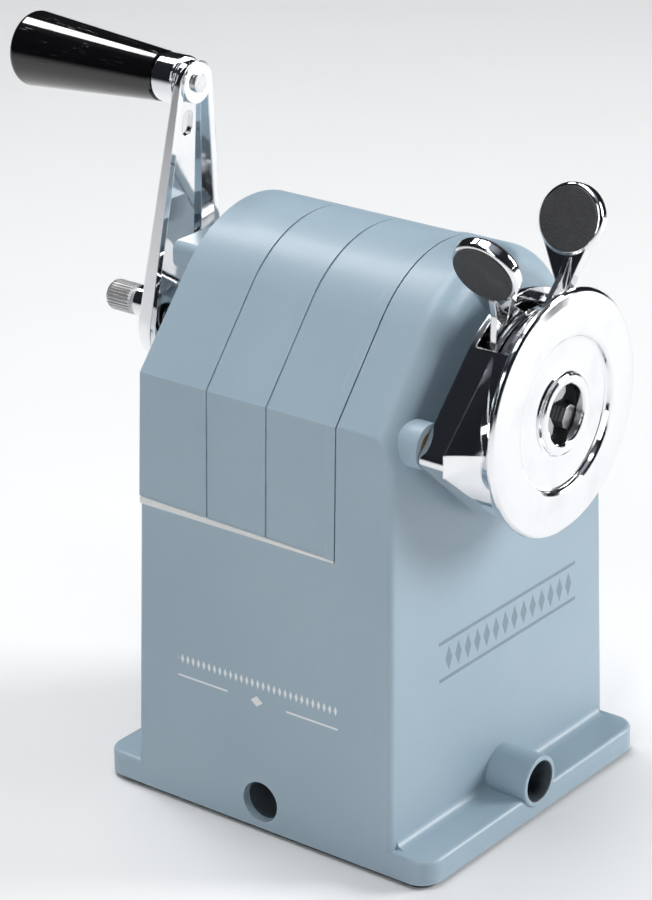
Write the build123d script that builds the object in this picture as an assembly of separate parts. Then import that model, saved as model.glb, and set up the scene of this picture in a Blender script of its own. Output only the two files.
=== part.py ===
from build123d import *

import math
import os

os.makedirs("parts", exist_ok=True)

# Desk-top pencil sharpener, in millimetres.
# +Z is up, the origin lies on the desk under the middle of the tower.
# The pencil goes in along +Y, so the nose faces -Y and the crank is at +Y.

# ---------------------------------------------------------------- tower
AXIS_Z = 94.0                # height of the pencil, cutter and crank axis
HALF_W_FOOT = 40.0           # half width of the tower at the flange
HALF_W_FOLD = 37.5           # half width where the sides fold inwards
HALF_D_FOOT = 34.0           # half depth of the tower at the flange
HALF_D_FOLD = 32.3           # half depth at the height of the fold
PAD_T = 1.0                  # rubber pad under the base
FLANGE_TOP = 6.5             # top of the foot flange
FLANGE_D = 9.5               # how far the flange stands out, front and rear
FLANGE_R = 5.0               # plan radius of the flange's corners
SLIT_Z = 67.0                # top of the low side walls, under the hood
FOLD_Z = 96.2                # where the vertical sides meet the shoulders
ARCH_R = 28.7                # radius of the arch
ARCH_TOP = 125.2             # crest of the arch
WALL = 3.0                   # wall of the casting
FRONT_IN = -29.0             # inner face of the front wall
REAR_IN = 29.0               # inner face of the rear wall
SEAM_Y = -19.0               # front edge of the hood
ARCH_FILLET = 5.0            # rounding between arch and front face
EDGE_FILLET = 1.8            # rounding of the upright edges
FOOT_FILLET = 2.0            # hollow rounding between wall and flange

# ---------------------------------------------------------------- hood
HOOD_T = 2.2                 # wall of the hood
HOOD_GAP = 0.35              # gap round the hood
HOOD_STEP = 0.35             # how far the hood's panel lies below its border
HOOD_BORDER = 2.2            # width of the raised border at the seam
GROOVES_Y = (-1.0, 14.5)     # the two fine grooves across the hood
GROOVE_W = 0.5
GROOVE_D = 0.4
STRIP_FRONT_T = 0.5          # seat strip, thickness at its front end
STRIP_REAR_T = 1.5           # seat strip, thickness at its rear end

# ---------------------------------------------------------------- clamp sockets
CLAMP_R = 4.5                # bore for a table clamp's rod
CLAMP_TUBE_R = 5.7           # outside of the front tube
CLAMP_Z = 9.0                # height of the front socket
CLAMP_FRONT_Y = -44.0        # mouth of the front socket
CLAMP_DEPTH = 36.0           # depth of the front socket
SIDE_CLAMP_R = 4.3           # bore of the side socket
SIDE_CLAMP_Z = 7.2           # height of the side socket
SIDE_CLAMP_DEPTH = 26.0      # depth of the side socket's tube
SIDE_SEAT_X = -38.1          # where the side tube is seated in the wall
CLAMP_END_T = 2.0            # closed end of each socket
# The casting has no seam: it is cut here into two nodes so that collision follows its hollow.
FOOT_TOP_Z = 15.2            # height where the foot's node ends and the walls' node begins

# ---------------------------------------------------------------- bearings
BUSH_R = 10.0                # outside of the front bush
HUB_TUBE_R = 8.5             # carrier's front journal
RUNNING = 0.06               # radial clearance of a running fit
REAR_BUSH_R = 6.5
SPINDLE_R = 4.0
SPINDLE_FRONT_Y = 19.8
SPINDLE_STEP_Y = 50.0        # where the spindle steps down to its threaded end
SPINDLE_END_R = 2.9
REAR_BOSS_R = 11.0
REAR_BOSS_Y = 40.0           # outer end of the rear bearing boss
ROD_X = 30.0                 # guide rods left and right of the axis
ROD_R = 2.0
ROD_BOSS_R = 4.8
ROD_BOSS_Y = -36.3           # outer end of the guide rod bosses
ROD_BUSH_R = 3.2
ROD_REAR_Y = 16.0            # rear end of the guide rods
COLLAR_R = 4.2
COLLAR_L = 4.0

# ---------------------------------------------------------------- nose
NOSE_BACK_Y = -36.5          # back of the nose housing
SLAB_Y = -42.3               # front of the winged slab
DISC_BACK_Y = -46.8
DISC_Y = -48.8               # front of the face disc
DISC_R = 26.0
NOSE_R = 24.2                # round part of the nose housing
NOSE_BORE_R = 22.3           # inside of the nose housing
WING_X = 31.8                # centre of a wing tip's rounding
WING_Z = -1.5                # its height above the axis
WING_TIP_R = 2.2
NOSE_FLOOR_Y = -38.0         # front of the nose housing's back wall
PENCIL_R = 6.3               # way through for the pencil
SLEEVE_R = 7.0               # sleeve that the lever rings turn on
SLEEVE_FRONT_Y = -43.1
WINDOW_ANGLE = 44.0          # half opening of the lever window, from upright
NOSE_SCREW_ANGLES = (200.0, 270.0, 340.0)
NOSE_SCREW_R = 0.7

# ---------------------------------------------------------------- levers and jaws
FRONT_RING = (-42.9, -41.5)  # right lever's ring, front and back
REAR_RING = (-41.2, -39.8)   # left lever's ring
RING_R = 21.0
EAR_RADIUS = 38.5            # centre of a finger paddle, from the axis
EAR_Y = -40.7
EAR_R = 7.5
EAR_T = 3.0
EAR_PAD_R = 6.6
EAR_PAD_T = 0.7
LEFT_EAR_ANGLE = 27.0        # degrees left of upright at rest
RIGHT_EAR_ANGLE = 19.0       # degrees right of upright at rest
LEVER_TURN = 15.0            # how far each lever turns when squeezed
JAW_W = 5.0
JAW_TIP_R = 2.6              # radius left open by the closed jaws
JAW_END_R = 15.6
JAW_PIN_R = 1.4
JAW_PIN_AT = 12.0            # radius of a jaw's pin when closed
JAW_TRAVEL = 3.2             # how far each jaw opens
JAW_FRONT_Y = -46.5
JAW_BACK_Y = -43.3
JAW_ANGLES = {"upper_jaw": 90.0, "left_jaw": 210.0, "right_jaw": 330.0}

# ---------------------------------------------------------------- cutter
CUTTER_R = 6.5
CUTTER_FRONT_Y = -14.0
CUTTER_REAR_Y = 13.0
CUTTER_FRONT_OFF = 11.6      # cutter axis above the pencil axis, front end
CUTTER_REAR_OFF = 6.9        # the same at the rear end
CUTTER_FLUTES = 11
CUTTER_TWIST = 50.0
AXLE_R = 2.0
PINION_TEETH = 12
RING_TEETH = 36
GEAR_MODULE = 1.0
PINION_T = 3.0
RING_OUTER_R = 24.0
RING_TEETH_Y = (-20.5, -15.0)
RING_FLOOR_Y = -26.4         # rear face of the ring gear's flange
RING_SCREW_AT = 18.2
RING_SCREW_R = 1.25
RING_SCREW_TIP = -32.0
CARRIER_REAR = (17.0, 23.0)
CARRIER_FRONT = (-25.8, -21.8)
CARRIER_R = 17.0

# ---------------------------------------------------------------- crank
HUB_DISC_R = 13.0
HUB_DISC = (41.0, 44.0)
HUB_NECK_R = 6.5
ARM_WEB_Y = 55.6             # rear face of the arm at the hub
ARM_DEPTH = 6.5              # depth of the pressing before it is trimmed
ARM_HUB_DEPTH = 6.0          # trimmed depth a little below the hub
ARM_TOP_DEPTH = 2.0          # trimmed depth a little above the handle
ARM_FLARE = 20.0             # degrees that the flanges lean outwards
ARM_SLOT_DOWN = 9.0          # slot below the handle axis
ARM_LEAN = 6.8               # degrees that the arm leans to the body
ARM_HUB_R = 10.8
ARM_TOP_R = 4.5
ARM_SHEET = 1.3
HANDLE_Z = 146.7             # height of the handle's axis
FERRULE = (49.2, 55.0)
FERRULE_R = 5.3
GRIP_END_Y = 93.0
GRIP_SMALL_R = 5.5
GRIP_LARGE_R = 8.3
HANDLE_AXLE_R = 2.0
SLEEVE_NUT_END_Y = 63.4
SLEEVE_NUT_R = 3.7
KNOB_END_Y = 71.6
KNOB_R = 3.5
STOP_ROD_R = 1.5
STOP_ROD_FRONT_Y = 13.5


# ---------------------------------------------------------------- helpers
def cyl_y(radius, y_low, y_high, x=0.0, z=AXIS_Z):
    """Cylinder along Y between two Y positions."""
    return Pos(x, (y_low + y_high) / 2, z) * Rot(90, 0, 0) * Cylinder(radius, y_high - y_low)


def cyl_z(radius, z_low, z_high, x=0.0, y=0.0):
    """Cylinder along Z between two heights."""
    return Pos(x, y, (z_low + z_high) / 2) * Cylinder(radius, z_high - z_low)


def cyl_x(radius, x_low, x_high, y=0.0, z=0.0):
    """Cylinder along X between two X positions."""
    return Pos((x_low + x_high) / 2, y, z) * Rot(0, 90, 0) * Cylinder(radius, x_high - x_low)


def block(x0, x1, y0, y1, z0, z1):
    """Box between two corners."""
    middle = Pos((x0 + x1) / 2, (y0 + y1) / 2, (z0 + z1) / 2)
    return middle * Box(x1 - x0, y1 - y0, z1 - z0)


def ring_y(outer, inner, y_low, y_high, x=0.0, z=AXIS_Z):
    """Ring or tube along Y."""
    return cyl_y(outer, y_low, y_high, x, z) - cyl_y(inner, y_low - 1, y_high + 1, x, z)


def prism_y(sketch, y_low, y_high):
    """Extrude a sketch drawn in X and Z between two Y positions."""
    plane = Plane(origin=(0, y_high, 0), x_dir=(1, 0, 0), z_dir=(0, -1, 0))
    return extrude(plane * sketch, amount=y_high - y_low)


def prism_x(sketch, x_low, x_high):
    """Extrude a sketch drawn in Y and Z between two X positions."""
    plane = Plane(origin=(x_low, 0, 0), x_dir=(0, 1, 0), z_dir=(1, 0, 0))
    return extrude(plane * sketch, amount=x_high - x_low)


def turned_y(points, z=AXIS_Z):
    """Turn an outline of (radius, y) points about the Y axis at a height."""
    outline = make_face(Polyline(*points, close=True))
    turned = revolve(Plane.XY * outline, axis=Axis.Y)
    return Pos(0, 0, z) * turned


def about_axis(shape, angle):
    """Turn a shape about the pencil axis; positive goes from +Z to +X."""
    return Pos(0, 0, AXIS_Z) * Rot(0, angle, 0) * Pos(0, 0, -AXIS_Z) * shape


def save(name, shape):
    """Write one node."""
    shape.label = name
    export_step(shape, "parts/" + name + ".step")


# ---------------------------------------------------------------- casting outline
def half_width(z):
    """Half width of the drafted side at a height below the fold."""
    share = (z - FLANGE_TOP) / (FOLD_Z - FLANGE_TOP)
    return HALF_W_FOOT + (HALF_W_FOLD - HALF_W_FOOT) * share


def half_depth(z):
    """Half depth of the drafted front and rear faces at a height."""
    share = (z - FLANGE_TOP) / (FOLD_Z - FLANGE_TOP)
    return HALF_D_FOOT + (HALF_D_FOLD - HALF_D_FOOT) * share


def front_view(inset, z_low):
    """Tower outline in X and Z: sides, straight shoulders and arch, inset by a wall."""
    centre_z = ARCH_TOP - ARCH_R
    reach = math.hypot(HALF_W_FOLD, FOLD_Z - centre_z)
    shoulder = math.acos(ARCH_R / reach) + math.atan2(FOLD_Z - centre_z, HALF_W_FOLD)
    normal = (math.cos(shoulder), math.sin(shoulder))
    draft = math.atan2(HALF_W_FOOT - HALF_W_FOLD, FOLD_Z - FLANGE_TOP)
    # the inset fold is where the inset side meets the inset shoulder
    side_shift = inset / math.cos(draft)
    slope = (HALF_W_FOLD - HALF_W_FOOT) / (FOLD_Z - FLANGE_TOP)
    reach_in = ARCH_R - inset
    base_x = HALF_W_FOLD - side_shift - slope * FOLD_Z
    fold_z = (reach_in + normal[1] * centre_z - normal[0] * base_x)
    fold_z = fold_z / (normal[0] * slope + normal[1])
    fold_x = base_x + slope * fold_z
    foot_x = base_x + slope * z_low
    touch = (reach_in * normal[0], centre_z + reach_in * normal[1])
    crest = (0, centre_z + reach_in)
    outline = [
        Line((-foot_x, z_low), (foot_x, z_low)),
        Line((foot_x, z_low), (fold_x, fold_z)),
        Line((fold_x, fold_z), touch),
        ThreePointArc(touch, crest, (-touch[0], touch[1])),
        Line((-touch[0], touch[1]), (-fold_x, fold_z)),
        Line((-fold_x, fold_z), (-foot_x, z_low)),
    ]
    return make_face(outline)


def side_view(inset, z_low, z_high):
    """Tower outline in Y and Z, with the draft of the front and rear faces."""
    low = half_depth(z_low) - inset
    high = half_depth(z_high) - inset
    return make_face(Polyline((-low, z_low), (low, z_low), (high, z_high), (-high, z_high), close=True))


def tower_block(inset, z_low):
    """Solid tower, inset by a wall on every side."""
    far = HALF_D_FOOT + 5
    high = ARCH_TOP + 5
    across = prism_y(front_view(inset, z_low), -far, far)
    along = prism_x(side_view(inset, z_low, high), -HALF_W_FOOT - 5, HALF_W_FOOT + 5)
    return across & along


# ---------------------------------------------------------------- tower
def rounded_tower():
    """Outer block of the tower, rounded at the upright edges and round the front of the arch."""
    body = tower_block(0, PAD_T)
    body = body & block(-HALF_W_FOOT, HALF_W_FOOT, -60, 60, 0, 200)
    top = []
    for edge in body.edges():
        across = abs((edge @ 0).Y - (edge @ 1).Y) < 1.5
        if across and edge.center().Z > FOLD_Z and edge.center().Y < 0:
            top.append(edge)
    body = fillet(top, ARCH_FILLET)
    upright = []
    for edge in body.edges():
        rising = abs((edge @ 0).Z - (edge @ 1).Z) > 60
        if rising and abs(edge.center().X) > HALF_W_FOLD - 2:
            upright.append(edge)
    return fillet(upright, EDGE_FILLET)


def foot_flange():
    """Foot plate, flush with the sides, standing out front and rear."""
    depth = HALF_D_FOOT + FLANGE_D
    plan = RectangleRounded(2 * HALF_W_FOOT, 2 * depth, FLANGE_R)
    plate = Pos(0, 0, PAD_T) * extrude(plan, amount=FLANGE_TOP - PAD_T)
    top_rim = plate.edges().filter_by(lambda e: abs(e.center().Z - FLANGE_TOP) < 0.01)
    return fillet(top_rim, 1.0)


def foot_coves():
    """Hollow roundings between the front and rear faces and the flange."""
    reach = HALF_W_FOOT - 2.5
    wall_y = HALF_D_FOOT - 0.3
    outer_y = HALF_D_FOOT + FOOT_FILLET
    top_z = FLANGE_TOP + FOOT_FILLET
    front = block(-reach, reach, -outer_y, -wall_y, FLANGE_TOP - 0.5, top_z)
    front = front - cyl_x(FOOT_FILLET, -reach - 1, reach + 1, -outer_y, top_z)
    rear = block(-reach, reach, wall_y, outer_y, FLANGE_TOP - 0.5, top_z)
    rear = rear - cyl_x(FOOT_FILLET, -reach - 1, reach + 1, outer_y, top_z)
    return front + rear


def tower_cavity():
    """Hollow of the tower, open at the bottom."""
    inner = tower_block(WALL, PAD_T - 1)
    keep = block(-60, 60, FRONT_IN, REAR_IN, -5, 200)
    return inner & keep


def hood_space():
    """Room that the hood and its seat strips take out of the tower."""
    far = HALF_D_FOOT + 6
    across = prism_y(front_view(-3, SLIT_Z), SEAM_Y, far)
    inner = prism_y(front_view(HOOD_T + HOOD_GAP, SLIT_Z - 5), SEAM_Y - 1, far + 1)
    shell = across - inner
    room = block(-60, 60, SEAM_Y, REAR_IN, SLIT_Z, 200)
    return shell + room


def corner_posts():
    """Four screw posts for the base plate."""
    posts = []
    for x in (-28.0, 28.0):
        for y in (-23.0, 23.0):
            posts.append(cyl_z(4.0, 2.4, 14.0, x, y) + block(
                min(x, math.copysign(37.0, x)), max(x, math.copysign(37.0, x)),
                y - 1.5, y + 1.5, 2.4, 14.0))
    return posts


def build_tower():
    """Die-cast tower with walls, front frame, bosses and clamp sockets."""
    body = rounded_tower() + foot_flange()
    body = body + foot_coves()
    body = body - tower_cavity()
    body = body - hood_space()
    for post in corner_posts():
        body = body + post
    for x in (-28.0, 28.0):
        for y in (-23.0, 23.0):
            body = body - cyl_z(1.25, 2.0, 12.0, x, y)
    # bosses for the guide rods and the bearings
    for x in (-ROD_X, ROD_X):
        body = body + cyl_y(ROD_BOSS_R, ROD_BOSS_Y, FRONT_IN, x)
    body = body + cyl_y(REAR_BOSS_R, REAR_IN - 5, REAR_BOSS_Y)
    lug = block(-12, 12, REAR_IN, 44.0, 109.0, 115.0)
    lug = fillet(lug.edges().filter_by(Axis.Y), 2.0)
    body = body + lug
    for x in (-ROD_X, ROD_X):
        body = body - cyl_y(ROD_BUSH_R, ROD_BOSS_Y - 1, FRONT_IN + 1, x)
    body = body - cyl_y(BUSH_R, -40, FRONT_IN + 1)
    body = body - cyl_y(REAR_BUSH_R, REAR_IN - 6, REAR_BOSS_Y + 1)
    # seats of the two clamp sockets
    socket_end = CLAMP_FRONT_Y + CLAMP_DEPTH + CLAMP_END_T
    body = body - cyl_y(CLAMP_TUBE_R, CLAMP_FRONT_Y - 1, socket_end, 0, CLAMP_Z)
    body = body - cyl_x(SIDE_CLAMP_R + 0.25, -HALF_W_FOOT - 3, SIDE_SEAT_X, 0, SIDE_CLAMP_Z)
    body = body - cyl_x(CLAMP_TUBE_R, SIDE_SEAT_X, SIDE_SEAT_X + WALL, 0, SIDE_CLAMP_Z)
    # turned seat and tapped holes for the ring gear
    body = body - cyl_y(RING_OUTER_R + 0.05, FRONT_IN, FRONT_IN + 2)
    for x, z in ring_screw_places():
        body = body - cyl_y(RING_SCREW_R, RING_SCREW_TIP, FRONT_IN + 1, x, z)
    return body


def foot_of(casting):
    """Foot of the casting: flange, screw posts and the seats of both clamp sockets."""
    return casting & block(-60, 60, -60, 60, -5, FOOT_TOP_Z)


def walls_of(casting):
    """Upper walls of the casting, with the bosses and the front frame."""
    return casting & block(-60, 60, -60, 60, FOOT_TOP_Z, 200)


def build_front_socket():
    """Blind tube in the front of the foot for a table clamp's rod."""
    bore_end = CLAMP_FRONT_Y + CLAMP_DEPTH
    tube = cyl_y(CLAMP_TUBE_R, CLAMP_FRONT_Y, bore_end + CLAMP_END_T, 0, CLAMP_Z)
    tube = tube - cyl_y(CLAMP_R, CLAMP_FRONT_Y - 1, bore_end, 0, CLAMP_Z)
    rims = [e for e in tube.edges() if abs(e.center().Y - CLAMP_FRONT_Y) < 0.01]
    return fillet(rims, 0.35)


def build_side_socket():
    """Blind tube behind the hole in the left wall, flattened where it meets the floor."""
    bore_end = SIDE_SEAT_X + SIDE_CLAMP_DEPTH
    tube = cyl_x(CLAMP_TUBE_R - 0.02, SIDE_SEAT_X, bore_end + CLAMP_END_T, 0, SIDE_CLAMP_Z)
    tube = tube & block(-60, 60, -20, 20, 2.3, 40)
    return tube - cyl_x(SIDE_CLAMP_R, SIDE_SEAT_X - 1, bore_end, 0, SIDE_CLAMP_Z)


def build_base_plate():
    """Sheet floor in the bottom of the tower."""
    edge = 0.3
    x = half_width(PAD_T) - WALL - edge
    plate = block(-x, x, FRONT_IN + edge, REAR_IN - edge, PAD_T, 2.2)
    for px in (-28.0, 28.0):
        for py in (-23.0, 23.0):
            plate = plate - cyl_z(1.7, 0, 3, px, py)
            plate = plate - Pos(px, py, PAD_T + 0.45) * Cone(3.0, 1.7, 0.9)
    return plate


def build_base_screws():
    """Four countersunk screws."""
    screws = []
    for px in (-28.0, 28.0):
        for py in (-23.0, 23.0):
            head = Pos(px, py, PAD_T + 0.45) * Cone(2.9, 1.6, 0.9)
            shank = cyl_z(1.2, PAD_T + 0.2, 10.0, px, py)
            screws.append(head + shank)
    return Compound(children=screws)


def build_pad():
    """Rubber pad under the whole foot."""
    depth = HALF_D_FOOT + FLANGE_D - 1.2
    width = half_width(0) - 1.2
    plan = RectangleRounded(2 * width, 2 * depth, FLANGE_R - 1)
    return extrude(plan, amount=PAD_T)


# ---------------------------------------------------------------- hood
def hood_outer():
    """Outer shape that the hood fills, from its seat to the crest."""
    return tower_block(0, SLIT_Z)


def seat_plane_cut(lift):
    """Everything below the hood's sloping lower edge."""
    y0 = SEAM_Y - 5
    y1 = HALF_D_FOOT + 5
    length = half_depth(SLIT_Z) - SEAM_Y
    rate = (STRIP_REAR_T - STRIP_FRONT_T) / length
    z0 = SLIT_Z + STRIP_FRONT_T + lift + rate * (y0 - SEAM_Y)
    z1 = SLIT_Z + STRIP_FRONT_T + lift + rate * (y1 - SEAM_Y)
    outline = Polyline((y0, SLIT_Z - 20), (y1, SLIT_Z - 20), (y1, z1), (y0, z0), close=True)
    return prism_x(make_face(outline), -60, 60)


def build_hood():
    """Arch-shaped hood with a raised front border and two fine grooves."""
    far = HALF_D_FOOT + 6
    inner = prism_y(front_view(HOOD_T, SLIT_Z - 5), SEAM_Y - 1, far + 1)
    hood = hood_outer() - inner
    hood = hood & block(-60, 60, SEAM_Y + HOOD_GAP, far, 0, 200)
    panel_y = SEAM_Y + HOOD_GAP + HOOD_BORDER
    step = prism_y(front_view(-5, SLIT_Z - 5), panel_y, far)
    step = step - prism_y(front_view(HOOD_STEP, SLIT_Z - 6), panel_y - 1, far + 1)
    hood = hood - step
    for y in GROOVES_Y:
        low = y - GROOVE_W / 2
        high = y + GROOVE_W / 2
        groove = prism_y(front_view(-5, SLIT_Z - 5), low, high)
        groove = groove - prism_y(front_view(HOOD_STEP + GROOVE_D, SLIT_Z - 6), low - 1, high + 1)
        hood = hood - groove
    return hood - seat_plane_cut(0.0)


def build_seat_strips():
    """White wedge-shaped strips between the low side walls and the hood."""
    strips = []
    slab = block(-60, 60, SEAM_Y + HOOD_GAP, half_depth(SLIT_Z) - 0.4, SLIT_Z, SLIT_Z + 5)
    inner = prism_y(front_view(HOOD_T + HOOD_GAP - 0.05, SLIT_Z - 5), -60, 60)
    ring = (hood_outer() - inner) & slab & seat_plane_cut(-0.05)
    for solid in ring.solids():
        strips.append(solid)
    return Compound(children=strips)


# ---------------------------------------------------------------- bearings
def build_front_bush():
    """Flanged bronze bush in the front wall."""
    bush = cyl_y(BUSH_R, -32.0, FRONT_IN)
    flange = cyl_y(BUSH_R + 1.5, FRONT_IN, FRONT_IN + 1.0)
    return bush + flange - cyl_y(HUB_TUBE_R + RUNNING, -40, FRONT_IN + 2)


def build_rear_bush():
    """Bronze bush in the rear boss."""
    bush = cyl_y(REAR_BUSH_R, REAR_IN - 5, REAR_BOSS_Y)
    return bush - cyl_y(SPINDLE_R + RUNNING, 0, 60)


def build_rod_bushes():
    """Bronze bushes for the two guide rods."""
    bushes = []
    for x in (-ROD_X, ROD_X):
        bushes.append(ring_y(ROD_BUSH_R, ROD_R + RUNNING, ROD_BOSS_Y, FRONT_IN, x))
    return Compound(children=bushes)


# ---------------------------------------------------------------- gears
def gear_outline(teeth, root_r, tip_r, root_share, tip_share):
    """Closed star outline with trapezoid teeth; shares are parts of the pitch angle."""
    points = []
    pitch = 2 * math.pi / teeth
    for i in range(teeth):
        middle = i * pitch
        for radius, shift in (
            (root_r, -root_share / 2),
            (tip_r, -tip_share / 2),
            (tip_r, tip_share / 2),
            (root_r, root_share / 2),
        ):
            angle = middle + shift * pitch
            points.append((radius * math.cos(angle), radius * math.sin(angle)))
    return make_face(Polyline(*points, close=True))


def build_ring_gear():
    """Ring with inside teeth, its cup standing on the front wall."""
    pitch_r = RING_TEETH * GEAR_MODULE / 2
    cup = cyl_y(RING_OUTER_R, FRONT_IN, RING_TEETH_Y[1])
    cup = cup - cyl_y(RING_OUTER_R - 3.0, RING_FLOOR_Y, RING_TEETH_Y[0])
    cup = cup - cyl_y(BUSH_R + 2.5, -40, RING_FLOOR_Y + 1)
    space = prism_y(Pos(0, AXIS_Z) * inside_star(pitch_r), RING_TEETH_Y[0] - 0.5, RING_TEETH_Y[1] + 1)
    cup = cup - space
    for x, z in ring_screw_places():
        cup = cup - cyl_y(RING_SCREW_R, -40, RING_FLOOR_Y + 1, x, z)
        cup = cup - Pos(x, RING_FLOOR_Y - 0.6, z) * Rot(-90, 0, 0) * Cone(RING_SCREW_R, 2.3, 1.2)
    return cup


def ring_screw_places():
    """Where the three screws of the ring gear sit, as (x, z)."""
    places = []
    for angle in (90.0, 210.0, 330.0):
        x = RING_SCREW_AT * math.cos(math.radians(angle))
        z = AXIS_Z + RING_SCREW_AT * math.sin(math.radians(angle))
        places.append((x, z))
    return places


def build_ring_screws():
    """Countersunk screws that fasten the ring gear to the front wall."""
    screws = []
    for x, z in ring_screw_places():
        shank = cyl_y(RING_SCREW_R - 0.05, RING_SCREW_TIP + 0.3, RING_FLOOR_Y - 0.3, x, z)
        head = Pos(x, RING_FLOOR_Y - 0.65, z) * Rot(-90, 0, 0) * Cone(RING_SCREW_R - 0.05, 2.15, 1.1)
        screws.append(shank + head)
    return Compound(children=screws)


def inside_star(pitch_r):
    """Hollow of the ring gear: a star whose points are the gaps between the teeth."""
    return Rot(0, 0, 90) * gear_outline(
        RING_TEETH, pitch_r - 0.75, pitch_r + 1.45, 0.78, 0.46)


def cutter_frame():
    """Location on the cutter's tilted axis: local Z runs from its front to its rear."""
    rise = CUTTER_REAR_OFF - CUTTER_FRONT_OFF
    run = CUTTER_REAR_Y - CUTTER_FRONT_Y
    front = Vector(0, CUTTER_FRONT_Y, AXIS_Z + CUTTER_FRONT_OFF)
    along = Vector(0, run, rise).normalized()
    return Plane(origin=front, x_dir=(1, 0, 0), z_dir=along)


def cutter_length():
    """Length of the cutting cylinder along its axis."""
    return math.hypot(CUTTER_REAR_Y - CUTTER_FRONT_Y, CUTTER_REAR_OFF - CUTTER_FRONT_OFF)


def build_cutter():
    """Cylinder with helical cutting flutes and a bore for its axle."""
    length = cutter_length()
    steps = 5
    sections = []
    for i in range(steps + 1):
        star = gear_outline(CUTTER_FLUTES, CUTTER_R - 1.1, CUTTER_R, 0.55, 0.12)
        turn = CUTTER_TWIST * i / steps
        sections.append(Pos(0, 0, length * i / steps) * Rot(0, 0, turn) * star)
    body = loft(sections, ruled=True)
    body = body + Pos(0, 0, length + 0.5) * Cylinder(3.6, 1.4)
    body = body - Pos(0, 0, length / 2) * Cylinder(AXLE_R + RUNNING, length + 10)
    return cutter_frame().location * body


def build_pinion():
    """Planet pinion on the front end of the cutter."""
    pitch_r = PINION_TEETH * GEAR_MODULE / 2
    star = gear_outline(PINION_TEETH, pitch_r - 1.3, pitch_r + 0.75, 0.62, 0.26)
    gear = Pos(0, 0, -PINION_T - 0.6) * extrude(Rot(0, 0, 90) * star, amount=PINION_T)
    hub = Pos(0, 0, -0.3) * Cylinder(3.6, 0.6)
    gear = gear + hub - Cylinder(AXLE_R + RUNNING, 30)
    return cutter_frame().location * gear


def build_axle():
    """Fixed steel pin that the cutter turns on."""
    length = cutter_length()
    reach_front = 11.4
    reach_rear = 5.4
    pin = Pos(0, 0, (length + reach_rear - reach_front) / 2) * Cylinder(
        AXLE_R, length + reach_rear + reach_front)
    return cutter_frame().location * pin


# ---------------------------------------------------------------- carrier and spindle
def build_carrier():
    """Cast cage that carries the cutter round the pencil."""
    cage = cyl_y(CARRIER_R, CARRIER_FRONT[0], CARRIER_FRONT[1])
    cage = cage + cyl_y(HUB_TUBE_R, -33.5, CARRIER_FRONT[1])
    cage = cage + cyl_y(13.5, CARRIER_REAR[0], CARRIER_REAR[1])
    for side in (-1, 1):
        inner = 9.0 * side
        outer = 13.0 * side
        bar = block(min(inner, outer), max(inner, outer), CARRIER_FRONT[0] + 1, CARRIER_REAR[1] - 1,
                    AXIS_Z - 6.0, AXIS_Z + 2.0)
        cage = cage + bar
    cage = cage - cyl_y(PENCIL_R + 0.2, -60, CARRIER_FRONT[1] + 0.5)
    cage = cage - cyl_y(SPINDLE_R, SPINDLE_FRONT_Y, CARRIER_REAR[1] + 1)
    cage = cage - cyl_y(STOP_ROD_R + 0.1, CARRIER_REAR[0] - 1, CARRIER_REAR[1] + 1)
    cage = cage - build_axle()
    return cage


def build_spindle():
    """Hollow steel spindle from the carrier to the crank."""
    spindle = cyl_y(SPINDLE_R, SPINDLE_FRONT_Y, SPINDLE_STEP_Y)
    spindle = spindle + cyl_y(SPINDLE_END_R, SPINDLE_STEP_Y, SLEEVE_NUT_END_Y - 1)
    return spindle - cyl_y(STOP_ROD_R + 0.1, 0, 80)


# ---------------------------------------------------------------- nose
def nose_outline(round_r, tip_x, tip_r):
    """Outline of the nose: a circle with a rounded wing tip left and right."""
    edges = [CenterArc((0, 0), round_r, 0, 360)]
    for side in (-1, 1):
        edges.append(CenterArc((side * tip_x, WING_Z), tip_r, 0, 360))
    return make_hull(edges)


def wing_wedge(side):
    """Sloping flank from the slab's front edge up to the face disc."""
    reach = math.hypot(WING_X, WING_Z)
    tilt = math.degrees(math.atan2(WING_Z, WING_X))
    spread = math.degrees(math.acos((NOSE_R - WING_TIP_R) / reach))
    upper = math.radians(tilt + spread)
    lower = math.radians(tilt - spread)
    outline = []
    for y, tip in ((SLAB_Y, WING_X + WING_TIP_R), (DISC_BACK_Y, NOSE_R + 0.3)):
        points = [
            (0.0, 0.0),
            (NOSE_R * math.cos(upper), NOSE_R * math.sin(upper)),
            (tip * math.cos(math.radians(tilt)), WING_TIP_R * (tip > NOSE_R + 1) + WING_Z + 0.2),
            (tip * math.cos(math.radians(tilt)), -WING_TIP_R * (tip > NOSE_R + 1) + WING_Z - 0.2),
            (NOSE_R * math.cos(lower), NOSE_R * math.sin(lower)),
        ]
        points = [(side * px, pz + AXIS_Z) for px, pz in points]
        plane = Plane(origin=(0, y, 0), x_dir=(1, 0, 0), z_dir=(0, -1, 0))
        outline.append(plane * make_face(Polyline(*points, close=True)))
    return loft(outline, ruled=True)


def window_wedge(y_low, y_high):
    """Sector above the axis that the levers swing in."""
    reach = 60.0
    side = reach * math.tan(math.radians(WINDOW_ANGLE))
    outline = Polyline((0, AXIS_Z), (side, AXIS_Z + reach), (-side, AXIS_Z + reach), close=True)
    return prism_y(make_face(outline), y_low, y_high)


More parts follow.
